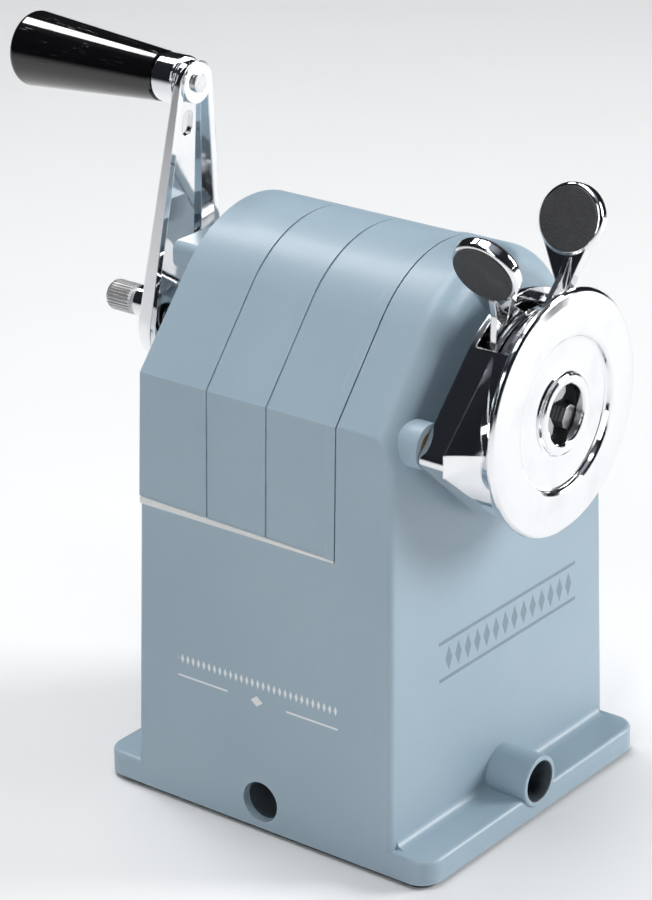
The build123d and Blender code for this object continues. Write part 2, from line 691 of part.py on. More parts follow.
def build_nose_housing():
    """Winged housing of the pencil holder, with a sleeve for the lever rings."""
    slab = prism_y(Pos(0, AXIS_Z) * nose_outline(NOSE_R, WING_X, WING_TIP_R), SLAB_Y, NOSE_BACK_Y)
    slab = slab + cyl_y(NOSE_R, DISC_BACK_Y, SLAB_Y)
    for side in (-1, 1):
        slab = slab + wing_wedge(side)
    slab = slab - cyl_y(NOSE_BORE_R, DISC_BACK_Y - 1, NOSE_FLOOR_Y)
    slab = slab - window_wedge(DISC_BACK_Y - 1, NOSE_FLOOR_Y)
    slab = slab + cyl_y(SLEEVE_R, SLEEVE_FRONT_Y, NOSE_BACK_Y)
    slab = slab - cyl_y(PENCIL_R, -60, 0)
    for x in (-ROD_X, ROD_X):
        slab = slab - cyl_y(ROD_R, SLAB_Y + 1.2, NOSE_BACK_Y + 1, x)
    for angle in NOSE_SCREW_ANGLES:
        slab = slab - nose_screw_hole(angle, NOSE_SCREW_R + 0.02, DISC_BACK_Y - 1, DISC_BACK_Y + 4)
    return slab


def nose_screw_hole(angle, radius, y_low, y_high):
    """Cylinder at one of the screw places round the nose's rim."""
    middle_r = (NOSE_R + NOSE_BORE_R) / 2
    x = middle_r * math.cos(math.radians(angle))
    z = AXIS_Z + middle_r * math.sin(math.radians(angle))
    return cyl_y(radius, y_low, y_high, x, z)


def build_face_disc():
    """Stepped round face plate with the pencil hole."""
    points = [
        (PENCIL_R, DISC_BACK_Y), (PENCIL_R, DISC_Y + 0.5), (PENCIL_R + 0.4, DISC_Y + 0.15),
        (8.1, DISC_Y + 0.1), (8.6, DISC_Y + 0.4), (8.8, DISC_Y + 1.2), (12.0, DISC_Y + 1.3),
        (15.5, DISC_Y + 1.2), (16.1, DISC_Y + 1.0), (16.35, DISC_Y + 0.35), (17.0, DISC_Y + 0.04),
        (20.0, DISC_Y), (23.5, DISC_Y + 0.2), (25.3, DISC_Y + 0.6), (25.85, DISC_Y + 1.05),
        (DISC_R, DISC_Y + 1.5), (25.8, DISC_BACK_Y),
    ]
    return turned_y(points)


def build_guide_plate():
    """Plate with three radial slots that guide the jaws."""
    plate = cyl_y(NOSE_BORE_R - 0.1, DISC_BACK_Y, JAW_BACK_Y)
    plate = plate - cyl_y(PENCIL_R + 0.2, -60, 0)
    for angle in JAW_ANGLES.values():
        plate = plate - radial_bar(angle, 0.0, 20.0, JAW_W / 2 + 0.08, DISC_BACK_Y - 1, JAW_BACK_Y + 1)
    return plate


def radial_bar(angle, r_low, r_high, half_w, y_low, y_high):
    """Bar that runs outwards from the axis at an angle from +X."""
    bar = block(r_low, r_high, y_low, y_high, AXIS_Z - half_w, AXIS_Z + half_w)
    return about_axis(bar, -angle)


def build_jaw(angle):
    """Jaw with a toothed tip, a body that slides and a pin for the lever rings."""
    bar = radial_bar(0, JAW_TIP_R, JAW_END_R, JAW_W / 2, JAW_FRONT_Y, JAW_BACK_Y)
    # narrow tip with a shallow notch that centres a round or six-sided pencil
    for side in (-1, 1):
        corner = Pos(JAW_TIP_R, (JAW_FRONT_Y + JAW_BACK_Y) / 2, AXIS_Z + side * JAW_W / 2)
        bar = bar - corner * Rot(0, 45, 0) * Box(1.6, 10, 1.6)
    for k in range(3):
        tooth_y = JAW_FRONT_Y + 0.7 + k * 0.9
        groove = Pos(JAW_TIP_R, tooth_y, AXIS_Z) * Rot(0, 0, 45) * Box(0.35, 0.35, JAW_W + 1)
        bar = bar - groove
    pin = cyl_y(JAW_PIN_R, JAW_BACK_Y - 0.5, REAR_RING[1], JAW_PIN_AT)
    return about_axis(bar + pin, -angle)


def spiral_slot(angle, turn_sign, y_low, y_high):
    """Slot whose radius grows as its ring turns, round one jaw pin."""
    rate = JAW_TRAVEL / math.radians(LEVER_TURN)
    half = JAW_PIN_R + 0.12
    inner = []
    outer = []
    steps = 10
    margin = math.radians(2.0)
    sweep = math.radians(LEVER_TURN) + 2 * margin
    for i in range(steps + 1):
        turned = -margin + sweep * i / steps
        radius = JAW_PIN_AT + rate * turned
        slope = math.atan2(rate, radius)
        polar = math.radians(angle) + turn_sign * turned
        # step off the centre line at right angles to the spiral
        nx = math.cos(polar) * math.cos(slope) + turn_sign * math.sin(polar) * math.sin(slope)
        nz = math.sin(polar) * math.cos(slope) - turn_sign * math.cos(polar) * math.sin(slope)
        cx = radius * math.cos(polar)
        cz = radius * math.sin(polar)
        outer.append((cx + half * nx, cz + half * nz + AXIS_Z))
        inner.append((cx - half * nx, cz - half * nz + AXIS_Z))
    slot = prism_y(make_face(Polyline(*outer, *reversed(inner), close=True)), y_low, y_high)
    for turned in (-margin, sweep - margin):
        radius = JAW_PIN_AT + rate * turned
        polar = math.radians(angle) + turn_sign * turned
        slot = slot + cyl_y(half, y_low, y_high, radius * math.cos(polar),
                            AXIS_Z + radius * math.sin(polar))
    return slot


def build_lever(side, ring):
    """Ring with three spiral slots, a neck and a finger paddle; side -1 is left."""
    rest = LEFT_EAR_ANGLE if side < 0 else RIGHT_EAR_ANGLE
    lever = ring_y(RING_R, SLEEVE_R + RUNNING, ring[0], ring[1])
    middle_y = (ring[0] + ring[1]) / 2
    # neck, drawn upright and then turned to its rest angle
    neck = prism_y(make_face(Polyline(
        (-7.5, AXIS_Z + RING_R - 3.0), (7.5, AXIS_Z + RING_R - 3.0),
        (2.4, AXIS_Z + 27.5), (1.5, AXIS_Z + 31.0),
        (-1.5, AXIS_Z + 31.0), (-2.4, AXIS_Z + 27.5), close=True)), ring[0], ring[1])
    web = prism_x(make_face(Polyline(
        (middle_y - 1.2, AXIS_Z + 24.5), (middle_y + 1.2, AXIS_Z + 24.5),
        (EAR_Y + 5.2, AXIS_Z + EAR_RADIUS - 5.0), (EAR_Y - 5.2, AXIS_Z + EAR_RADIUS - 5.0),
        close=True)), -1.2, 1.2)
    paddle = Pos(0, EAR_Y, AXIS_Z + EAR_RADIUS) * Rot(0, 90, 0) * Cylinder(EAR_R, EAR_T)
    paddle = fillet(paddle.edges(), 0.9)
    handle = neck + web + paddle
    for face in (-1, 1):
        recess = Pos(face * (EAR_T / 2), EAR_Y, AXIS_Z + EAR_RADIUS) * Rot(0, 90, 0)
        handle = handle - recess * Cylinder(EAR_PAD_R, 0.6)
    lever = lever + about_axis(handle, side * rest)
    # the left lever turns clockwise to the middle, the right one the other way
    for angle in JAW_ANGLES.values():
        lever = lever - spiral_slot(angle, -side, ring[0] - 0.5, ring[1] + 0.5)
    return lever


def build_lever_pads(side):
    """Finger pads in the recesses on both faces of a paddle."""
    rest = LEFT_EAR_ANGLE if side < 0 else RIGHT_EAR_ANGLE
    pads = []
    for face in (-1, 1):
        x = face * (EAR_T / 2 - 0.3 + EAR_PAD_T / 2)
        pad = Pos(x, EAR_Y, AXIS_Z + EAR_RADIUS) * Rot(0, 90, 0) * Cylinder(EAR_PAD_R, EAR_PAD_T)
        pads.append(about_axis(pad, side * rest))
    return Compound(children=pads)


def build_lever_spring():
    """Open wire ring behind the lever rings, with two bent legs."""
    wire = 0.45
    y = (REAR_RING[1] + NOSE_FLOOR_Y) / 2
    ring = Pos(0, y, AXIS_Z) * Rot(90, 0, 0) * Torus(9.0, wire)
    gap = about_axis(block(0, 20, y - 1, y + 1, AXIS_Z - 2.5, AXIS_Z + 2.5), -270)
    return ring - gap


def build_rod(side):
    """Steel guide rod fixed in the nose and sliding in the front wall."""
    return cyl_y(ROD_R, SLAB_Y + 1.2, ROD_REAR_Y, side * ROD_X)


def build_collars():
    """Collars on the rods' rear ends."""
    collars = []
    for side in (-1, 1):
        collars.append(ring_y(COLLAR_R, ROD_R, ROD_REAR_Y - COLLAR_L, ROD_REAR_Y, side * ROD_X))
    return Compound(children=collars)


def build_feed_spring(side):
    """Compression spring round a guide rod, as a stack of wire rings on a helix."""
    first = FRONT_IN + 0.8
    last = ROD_REAR_Y - COLLAR_L - 0.6
    turns = 11
    helix = Helix((last - first) / turns, last - first, 2.9)
    start = helix @ 0
    profile = Plane(origin=start, z_dir=helix % 0) * Circle(0.35)
    coil = sweep(profile, path=helix, is_frenet=True)
    return Pos(side * ROD_X, first, AXIS_Z) * Rot(-90, 0, 0) * coil


def build_nose_screws():
    """Small screws that hold the face disc to the housing."""
    screws = [nose_screw_hole(a, NOSE_SCREW_R, DISC_BACK_Y, DISC_BACK_Y + 3.8) for a in NOSE_SCREW_ANGLES]
    return Compound(children=screws)


# ---------------------------------------------------------------- crank
def build_hub():
    """Round hub between the rear bearing and the arm."""
    disc = cyl_y(HUB_DISC_R, HUB_DISC[0], HUB_DISC[1])
    disc = fillet(disc.edges(), 0.8)
    neck = cyl_y(HUB_NECK_R, HUB_DISC[1] - 0.5, ARM_WEB_Y - ARM_SHEET - 1.0)
    hub = disc + neck - cyl_y(SPINDLE_R, 0, SPINDLE_STEP_Y)
    return hub - cyl_y(SPINDLE_END_R, SPINDLE_STEP_Y - 1, 80)


def arm_outline(hub_r, top_r, length):
    """Tapered outline, wide and round at the hub, narrow and round at the top."""
    return make_hull([CenterArc((0, 0), hub_r, 0, 360), CenterArc((0, length), top_r, 0, 360)])


def build_arm():
    """Pressed channel arm, flared and open to the body, leaning to it."""
    length = HANDLE_Z - AXIS_Z
    outer = extrude(arm_outline(ARM_HUB_R, ARM_TOP_R, length), amount=ARM_DEPTH, taper=-ARM_FLARE)
    outer = fillet(outer.edges().filter_by(lambda e: e.center().Z < 0.01), 1.2)
    inside = arm_outline(ARM_HUB_R - ARM_SHEET, ARM_TOP_R - ARM_SHEET, length)
    inner = extrude(inside, amount=ARM_DEPTH, taper=-ARM_FLARE)
    channel = outer - Pos(0, 0, ARM_SHEET) * inner
    slot = SlotOverall(5.6, 3.2, rotation=90)
    channel = channel - Pos(0, length - ARM_SLOT_DOWN, -1) * extrude(slot, amount=4)
    # the channel gets shallower towards the handle
    cut = Polyline((-20, ARM_HUB_DEPTH), (length + 20, ARM_TOP_DEPTH), (length + 20, 20), (-20, 20), close=True)
    trim = extrude(Plane.YZ * make_face(cut), amount=60, both=True)
    channel = channel - trim
    # local X to X, local Y up the arm, local Z from the web to the open side
    lean = math.radians(ARM_LEAN)
    plane = Plane(
        origin=(0, ARM_WEB_Y, AXIS_Z),
        x_dir=(1, 0, 0),
        z_dir=(0, -math.cos(lean), -math.sin(lean)),
    )
    arm = plane.location * channel
    boss = cyl_y(ARM_TOP_R, FERRULE[0] - 3.2, FERRULE[0], 0, HANDLE_Z)
    hub_boss = cyl_y(HUB_NECK_R, ARM_WEB_Y - ARM_SHEET - 1.0, ARM_WEB_Y)
    arm = arm + boss + hub_boss
    arm = arm - cyl_y(SPINDLE_END_R, 0, 100)
    arm = arm - cyl_y(SLEEVE_NUT_R + 0.1, ARM_WEB_Y, 100)
    arm = arm - cyl_y(FERRULE_R + 0.1, FERRULE[0], 100, 0, HANDLE_Z)
    return arm - cyl_y(HANDLE_AXLE_R, 0, 100, 0, HANDLE_Z)


def build_sleeve_nut():
    """Polished nut that clamps the arm on the spindle."""
    nut = cyl_y(SLEEVE_NUT_R, ARM_WEB_Y, SLEEVE_NUT_END_Y)
    nut = fillet(nut.edges(), 0.3)
    nut = nut - cyl_y(SPINDLE_END_R, 0, SLEEVE_NUT_END_Y - 1)
    return nut - cyl_y(STOP_ROD_R + 0.1, 0, 80)


def build_knob():
    """Adjuster knob on the end of the spindle, drilled for the stop rod."""
    knob = cyl_y(KNOB_R, SLEEVE_NUT_END_Y + 0.15, KNOB_END_Y)
    knob = fillet(knob.edges(), 0.5)
    return knob - cyl_y(STOP_ROD_R, 0, KNOB_END_Y - 1.6)


def build_stop_rod():
    """Rod in the hollow spindle that stops the pencil's point."""
    rod = cyl_y(STOP_ROD_R, STOP_ROD_FRONT_Y, KNOB_END_Y - 1.6)
    front = [e for e in rod.edges() if abs(e.center().Y - STOP_ROD_FRONT_Y) < 0.01]
    return fillet(front, 0.4)


def build_handle_axle():
    """Steel axle of the handle."""
    return cyl_y(HANDLE_AXLE_R, FERRULE[0] - 4.0, GRIP_END_Y - 8.0, 0, HANDLE_Z)


def build_ferrule():
    """Chrome ferrule between the arm and the grip."""
    ferrule = cyl_y(FERRULE_R, FERRULE[0], FERRULE[1] - 0.3, 0, HANDLE_Z)
    ferrule = fillet(ferrule.edges(), 0.4)
    return ferrule - cyl_y(HANDLE_AXLE_R, 0, 100, 0, HANDLE_Z)


def grip_outline():
    """Half section of the tapered grip as (radius, y) points with a round end."""
    end_r = 1.6
    outline = [(HANDLE_AXLE_R + RUNNING, FERRULE[1]), (GRIP_SMALL_R - 0.4, FERRULE[1]),
               (GRIP_SMALL_R, FERRULE[1] + 0.4), (GRIP_LARGE_R, GRIP_END_Y - end_r)]
    for k in range(1, 7):
        a = math.radians(15.0 * k)
        outline.append((GRIP_LARGE_R - end_r + end_r * math.cos(a), GRIP_END_Y - end_r + end_r * math.sin(a)))
    outline += [(5.2, GRIP_END_Y), (5.2, GRIP_END_Y - 10.0), (HANDLE_AXLE_R + RUNNING, GRIP_END_Y - 10.0)]
    return outline


def build_grip():
    """Tapered black grip that turns on the handle axle."""
    return turned_y(grip_outline(), HANDLE_Z)


def build_grip_clip():
    """Retaining washer on the end of the axle."""
    return ring_y(4.4, HANDLE_AXLE_R, GRIP_END_Y - 9.7, GRIP_END_Y - 8.7, 0, HANDLE_Z)


def build_grip_plug():
    """Plug that closes the grip's end."""
    plug = cyl_y(5.2, GRIP_END_Y - 3.0, GRIP_END_Y, 0, HANDLE_Z)
    return plug


# ---------------------------------------------------------------- write all nodes
tower = build_tower()
save("tower_foot", foot_of(tower))
save("tower_housing", walls_of(tower))
save("front_clamp_socket_tube", build_front_socket())
save("side_clamp_socket_tube", build_side_socket())
save("base_plate", build_base_plate())
save("base_plate_screws", build_base_screws())
save("rubber_base_pad", build_pad())
save("hood_seat_strips", build_seat_strips())
save("shavings_hood", build_hood())
save("front_bearing_bush", build_front_bush())
save("rear_bearing_bush", build_rear_bush())
save("guide_rod_bushes", build_rod_bushes())
save("internal_ring_gear", build_ring_gear())
save("ring_gear_screws", build_ring_screws())
save("helical_cutter", build_cutter())
save("cutter_pinion", build_pinion())
save("cutter_axle", build_axle())
save("cutter_carrier", build_carrier())
save("drive_spindle", build_spindle())
save("nose_housing", build_nose_housing())
save("nose_face_disc", build_face_disc())
save("nose_screws", build_nose_screws())
save("jaw_guide_plate", build_guide_plate())
for jaw_name, jaw_angle in JAW_ANGLES.items():
    save(jaw_name, build_jaw(jaw_angle))
save("left_grip_lever", build_lever(-1, REAR_RING))
save("right_grip_lever", build_lever(1, FRONT_RING))
save("left_lever_pads", build_lever_pads(-1))
save("right_lever_pads", build_lever_pads(1))
save("lever_return_spring", build_lever_spring())
save("left_guide_rod", build_rod(-1))
save("right_guide_rod", build_rod(1))
save("guide_rod_collars", build_collars())
save("left_feed_spring", build_feed_spring(-1))
save("right_feed_spring", build_feed_spring(1))
save("crank_hub", build_hub())
save("crank_arm", build_arm())
save("spindle_sleeve_nut", build_sleeve_nut())
save("point_adjuster_knob", build_knob())
save("point_stop_rod", build_stop_rod())
save("handle_axle", build_handle_axle())
save("handle_ferrule", build_ferrule())
save("handle_grip", build_grip())
save("grip_retaining_clip", build_grip_clip())
save("grip_end_plug", build_grip_plug())
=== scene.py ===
import bpy
import bmesh
import math
from mathutils import Matrix, Vector


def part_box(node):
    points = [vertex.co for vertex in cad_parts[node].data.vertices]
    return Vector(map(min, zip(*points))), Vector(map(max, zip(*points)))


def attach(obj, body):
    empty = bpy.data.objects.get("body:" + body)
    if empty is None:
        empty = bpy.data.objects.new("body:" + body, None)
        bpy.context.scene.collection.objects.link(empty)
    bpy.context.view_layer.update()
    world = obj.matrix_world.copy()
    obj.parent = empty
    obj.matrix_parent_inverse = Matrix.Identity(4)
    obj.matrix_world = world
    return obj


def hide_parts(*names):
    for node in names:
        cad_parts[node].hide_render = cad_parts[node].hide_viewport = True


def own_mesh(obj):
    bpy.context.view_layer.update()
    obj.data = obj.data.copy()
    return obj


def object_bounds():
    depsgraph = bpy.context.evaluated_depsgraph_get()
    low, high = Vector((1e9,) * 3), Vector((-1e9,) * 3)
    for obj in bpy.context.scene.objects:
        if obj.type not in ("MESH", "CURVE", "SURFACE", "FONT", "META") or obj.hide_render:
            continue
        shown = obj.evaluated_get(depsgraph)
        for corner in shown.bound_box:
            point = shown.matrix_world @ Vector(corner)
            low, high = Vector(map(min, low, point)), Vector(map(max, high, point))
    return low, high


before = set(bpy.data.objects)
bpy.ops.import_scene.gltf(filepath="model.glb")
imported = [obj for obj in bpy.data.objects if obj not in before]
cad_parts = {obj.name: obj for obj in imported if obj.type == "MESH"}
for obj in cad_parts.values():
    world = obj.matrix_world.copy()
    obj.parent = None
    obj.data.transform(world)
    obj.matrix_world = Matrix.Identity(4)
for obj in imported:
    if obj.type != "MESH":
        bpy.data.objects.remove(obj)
CAD_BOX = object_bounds()
print("CAD box", [round(v, 4) for v in CAD_BOX[0]], [round(v, 4) for v in CAD_BOX[1]])

# %% [markdown]
# # A desk-top pencil sharpener
# The machine is a die-cast tower in satin enamel with a lift-off hood, a chrome nose that
# grips the pencil, and a crank with a black handle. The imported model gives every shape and
# place, so the work here is finishes, a few pieces that read better as real meshes (coil
# springs, a knurled knob), a studio and a camera. Everything is in metres, +Z up.

# %% Places taken from the frame
AXIS = Vector((0.0, 0.0, 0.094))
disc_low, disc_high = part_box("nose_face_disc")
tower_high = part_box("tower_housing")[1]
AXIS.z = (disc_low.z + disc_high.z) / 2
print("pencil axis height", round(AXIS.z, 4), "tower", [round(v, 4) for v in tower_high])

# %% [markdown]
# ## Writing shader maths as sums
# A finish is easier to read as `base + mask * 0.1` than as a web of Math nodes, so a small
# class wraps a socket and turns Python's operators into Math nodes. Colours must not pass
# through Math nodes, because those make them grey, so they go through Mix nodes instead.


# %% A socket that can be used in sums
class Value:
    """One number that varies over a surface."""

    def __init__(self, finish, socket):
        self.finish = finish
        self.socket = socket

    def math(self, operation, first, second=0.0):
        return self.finish.node("ShaderNodeMath", {"operation": operation}, {0: first, 1: second})

    def __add__(self, other):
        return self.math("ADD", self, other)

    def __radd__(self, other):
        return self.math("ADD", other, self)

    def __sub__(self, other):
        return self.math("SUBTRACT", self, other)

    def __rsub__(self, other):
        return self.math("SUBTRACT", other, self)

    def __mul__(self, other):
        return self.math("MULTIPLY", self, other)

    def __rmul__(self, other):
        return self.math("MULTIPLY", other, self)

    def __truediv__(self, other):
        return self.math("DIVIDE", self, other)

    def __pow__(self, other):
        return self.math("POWER", self, other)

    def __lt__(self, other):
        return self.math("LESS_THAN", self, other)

    def __gt__(self, other):
        return self.math("GREATER_THAN", self, other)

    def __abs__(self):
        return self.math("ABSOLUTE", self)

    def lowest(self, other):
        return self.math("MINIMUM", self, other)

    def repeat(self, length):
        """Distance from the middle of a cell, for cells of one length side by side."""
        return abs(self.math("PINGPONG", self, length / 2) - length / 4) * 2

    def ramp(self, low, high):
        """0 below one value, 1 above another, and smooth between them."""
        return self.finish.node(
            "ShaderNodeMapRange",
            {"interpolation_type": "SMOOTHSTEP"},
            {"Value": self, "From Min": low, "From Max": high},
        )


# %% [markdown]
# ## One builder for every finish
# Each finish is a Principled shader. Numbers that are the same all over the surface are set
# on the shader itself, and only colour, roughness and bump vary. Patterns are sized in
# metres and laid in object coordinates, so the grain keeps its real scale on every piece and
# moves with it.


# %% A finish and its nodes
class Finish:
    """A procedural material, built node by node."""

    def __init__(self, name, **constants):
        self.material = bpy.data.materials.new(name)
        self.material.use_nodes = True
        self.tree = self.material.node_tree
        self.shader = self.tree.nodes["Principled BSDF"]
        for key, value in constants.items():
            self.shader.inputs[key.replace("_", " ")].default_value = value
        self.place = self.node("ShaderNodeTexCoord", {}, {}, "Object")

    def node(self, kind, settings=(), inputs=(), output=0):
        """Adds one node: settings first, then the values or links of its sockets."""
        made = self.tree.nodes.new(kind)
        for key, value in dict(settings).items():
            setattr(made, key, value)
        for key, value in dict(inputs).items():
            if isinstance(value, Value):
                self.tree.links.new(value.socket, made.inputs[key])
            else:
                made.inputs[key].default_value = value
        return Value(self, made.outputs[output])

    def feed(self, **links):
        """Links varying values to the shader's own sockets."""
        for key, value in links.items():
            self.tree.links.new(value.socket, self.shader.inputs[key.replace("_", " ")])
        return self

    def along(self, axis):
        """One coordinate of the surface point, in metres."""
        return self.node("ShaderNodeSeparateXYZ", {}, {0: self.place}, axis)

    def cloud(self, size, detail=2.0, stretch=(1.0, 1.0, 1.0)):
        """Noise from 0 to 1 whose patches are about one size, in metres."""
        spot = self.place
        if stretch != (1.0, 1.0, 1.0):
            spot = self.node("ShaderNodeVectorMath", {"operation": "MULTIPLY"}, {0: spot, 1: stretch})
        return self.node("ShaderNodeTexNoise", {}, {"Vector": spot, "Scale": 1 / size, "Detail": detail})

    def cells(self, size):
        """Distance to the nearest point of a scatter, for grain."""
        return self.node("ShaderNodeTexVoronoi", {}, {"Vector": self.place, "Scale": 1 / size})

    def blend(self, amount, first, second):
        """Mixes two colours."""
        return self.node(
            "ShaderNodeMix", {"data_type": "RGBA"}, {0: amount, 6: first, 7: second}, 2
        )

    def edges(self, radius, gain):
        """Bright along outer edges, where handling wears a finish."""
        rounded = self.node("ShaderNodeBevel", {"samples": 4}, {"Radius": radius})
        flat = self.node("ShaderNodeNewGeometry", {}, {}, "Normal")
        facing = self.node(
            "ShaderNodeVectorMath", {"operation": "DOT_PRODUCT"}, {0: rounded, 1: flat}, "Value"
        )
        return ((1.0 - facing) * gain).lowest(1.0)

    def bump(self, height, distance, radius=0.0):
        """Turns a height from 0 to 1 into bumps of one real height."""
        links = {"Height": height, "Distance": distance, "Strength": 1.0}
        if radius:
            links["Normal"] = self.node("ShaderNodeBevel", {"samples": 4}, {"Radius": radius})
        return self.node("ShaderNodeBump", {}, links)


def colour(red, green, blue):
    """Linear colour with full opacity."""
    return (red, green, blue, 1.0)


# %% [markdown]
# ## Satin enamel
# The casting is sprayed and stoved in a light steel blue. Real enamel isn't one colour: it
# thins over edges, pools a little on flats, and has a faint orange peel that softens its
# highlights. Two sizes of noise give the colour drift and the peel; the edge mask lightens
# the corners. The ornament on the side is printed, so it changes colour only, while the
# small frieze on the front is cast in, so it changes the bump, and its hollows are darkened
# with painted shade. The casting is one piece, but the model stores it as two nodes that meet
# at one height. The wear mask is switched off there, because it would otherwise draw a seam
# that the real casting doesn't have.

# %% Enamel on tower and hood
NODES_MEET_Z = 0.0152
NO_WEAR_REACH = 0.0016
enamel = Finish("satin_blue_enamel", Coat_Roughness=0.22, Specular_IOR_Level=0.5)
drift = enamel.cloud(0.045, 3.0)
mottle = enamel.cloud(0.0022, 2.0)
peel = enamel.cloud(0.0009, 1.0)
worn = enamel.edges(0.0011, 5.0) * enamel.cloud(0.004, 3.0).ramp(0.42, 0.7)
worn = worn * (abs(enamel.along("Z") - NODES_MEET_Z) > NO_WEAR_REACH)
paint = enamel.blend(drift.ramp(0.3, 0.7), colour(0.335, 0.445, 0.525), colour(0.365, 0.475, 0.555))
paint = enamel.blend(mottle * 0.12, paint, colour(0.30, 0.40, 0.48))
paint = enamel.blend(worn * 0.5, paint, colour(0.52, 0.60, 0.66))
dust = enamel.cells(0.006).ramp(0.05, 0.0) * enamel.cloud(0.02).ramp(0.5, 0.65)
paint = enamel.blend(dust * 0.25, paint, colour(0.62, 0.66, 0.68))

# %% Printed ornament on the left side
RULE_Z = 0.0304
STUD_Z = 0.0344
PRINT_REACH = 0.0212
across = enamel.along("Y")
height = enamel.along("Z")
on_left = enamel.along("X") < -0.0366
from_middle = abs(across - 0.001)
rules = (abs(height - RULE_Z) < 0.00021) * (from_middle > 0.0078) * (from_middle < PRINT_REACH)
studs = (across.repeat(0.0029) / 0.00085 + abs(height - STUD_Z) / 0.0011) < 1.0
studs = studs * (from_middle < PRINT_REACH)
middle_stud = (from_middle / 0.0016 + abs(height - RULE_Z) / 0.0012) < 1.0
print_mask = (rules + studs + middle_stud).lowest(1.0) * on_left
paint = enamel.blend(print_mask * 0.92, paint, colour(0.86, 0.87, 0.86))
print("ornament rules at", RULE_Z, "studs at", STUD_Z)

# %% Cast frieze on the front
FRIEZE_Z = 0.0425
sideways = enamel.along("X")
on_front = enamel.along("Y") < -0.0315
from_centre = abs(sideways - 0.003)
lozenges = (sideways.repeat(0.0068) / 0.0024 + abs(height - FRIEZE_Z) / 0.0028) < 1.0
lozenges = lozenges * (from_centre < 0.0238)
lines = ((abs(abs(height - FRIEZE_Z) - 0.0042) < 0.0004) * (from_centre < 0.0252)).lowest(1.0)
frieze = (lozenges + lines).lowest(1.0) * on_front * (height > 0.02)
# Painted shade: the frieze's cast hollows are darkened towards a deep blue.
paint = enamel.blend(frieze * 0.5, paint, colour(0.07, 0.12, 0.17))
print("frieze at", FRIEZE_Z)

# %% [markdown]
# ## Dark throats of the clamp sockets
# The two sockets look nearly black inside, and that shade is painted: the colour is darkened
# there to get that look. A mask finds the points that lie near each socket's axis and behind its mouth.

# %% Sockets and the enamel's shader
FRONT_SOCKET_Z = 0.009
FRONT_SOCKET_R = 0.0047
SIDE_SOCKET_Z = 0.0072
SIDE_SOCKET_R = 0.0045
above_front = height - FRONT_SOCKET_Z
above_side = height - SIDE_SOCKET_Z
front_throat = (sideways * sideways + above_front * above_front) < FRONT_SOCKET_R ** 2
side_throat = (across * across + above_side * above_side) < SIDE_SOCKET_R ** 2
throat_painted_shade = (front_throat * (across < -0.006) + side_throat * (sideways < -0.010)).lowest(1.0)
# Painted shade: the enamel turns nearly black inside both socket throats.
paint = enamel.blend(throat_painted_shade * 0.85, paint, colour(0.03, 0.035, 0.04))
relief = peel * 0.10 + enamel.cloud(0.012, 1.0) * 0.25 - frieze * 1.6
enamel.feed(
    Base_Color=paint,
    Roughness=0.36 + mottle * 0.10 + drift * 0.05 - worn * 0.06,
    Coat_Weight=0.10 + drift * 0.10,
    Normal=enamel.bump(relief, 0.00022),
)
print("enamel nodes", len(enamel.tree.nodes))

# %% [markdown]
# ## Chrome and bare metals
# Chrome is a thin, very smooth plating: its look is almost all reflection. What tells real
# chrome from a perfect mirror is handling: faint smears that raise the roughness in
# patches, hair-fine polishing lines, and a slow waviness from buffing. The turned face disc
# also keeps concentric marks from the lathe.


# %% Chrome, plain and turned
def chrome_finish(name, turned):
    """Bright plating; a turned part also has fine rings round the pencil axis."""
    made = Finish(name, Metallic=1.0)
    smear = made.cloud(0.008, 4.0).ramp(0.45, 0.8)
    lines = made.cloud(0.0004, 2.0, (1.0, 0.08, 1.0))
    wave = made.cloud(0.016, 1.0)
    tone = made.blend(smear, colour(0.86, 0.87, 0.885), colour(0.79, 0.80, 0.815))
    surface = wave * 0.7 + lines * 0.02
    if turned:
        reach = (made.along("X") ** 2.0 + (made.along("Z") - AXIS.z) ** 2.0) ** 0.5
        surface = surface * 0.4 + reach.repeat(0.0005) * 14.0
    made.feed(
        Base_Color=tone,
        Roughness=0.045 + smear * 0.06 + lines * 0.02,
        Normal=made.bump(surface, 0.00006, 0.00035),
    )
    return made


chrome = chrome_finish("bright_chrome", False)
turned_chrome = chrome_finish("turned_chrome", True)


# %% Steel, bronze and zinc
def metal_finish(name, tint, rough, grain, stretch=(1.0, 1.0, 1.0)):
    """Bare metal with directional grain, a little staining and brighter edges."""
    made = Finish(name, Metallic=1.0)
    fine = made.cloud(grain, 3.0, stretch)
    stain = made.cloud(0.009, 3.0).ramp(0.4, 0.75)
    bright = made.edges(0.0004, 5.0)
    dark = colour(tint[0] * 0.72, tint[1] * 0.70, tint[2] * 0.68)
    tone = made.blend(stain * 0.6, colour(*tint), dark)
    tone = made.blend(bright * 0.5, tone, colour(0.86, 0.86, 0.86))
    made.feed(
        Base_Color=tone,
        Roughness=rough + fine * 0.12 + stain * 0.08,
        Normal=made.bump(fine, 0.00004, 0.0002),
    )
    return made


drawn_steel = metal_finish("drawn_steel", (0.66, 0.67, 0.68), 0.20, 0.0004, (1.0, 0.05, 1.0))
tool_steel = metal_finish("ground_tool_steel", (0.44, 0.44, 0.45), 0.28, 0.0003, (0.1, 1.0, 1.0))
zinc_sheet = metal_finish("zinc_sheet", (0.60, 0.62, 0.63), 0.34, 0.003)
zinc_screw = metal_finish("zinc_screws", (0.62, 0.63, 0.65), 0.26, 0.0006)
cast_zinc = metal_finish("cast_zinc", (0.58, 0.58, 0.59), 0.40, 0.0005)
bronze = metal_finish("oiled_bronze", (0.66, 0.44, 0.20), 0.34, 0.0004)

# %% [markdown]
# ## Plastics and rubber
# The handle is a hard black moulding with a deep gloss and a few hair scratches from being
# set down. The finger pads are a dense dark grey with a moulded grain, so they stay matt
# under the same light. The foot pad is dull rubber that picks up dust, and the strips under
# the hood are plain white plastic.

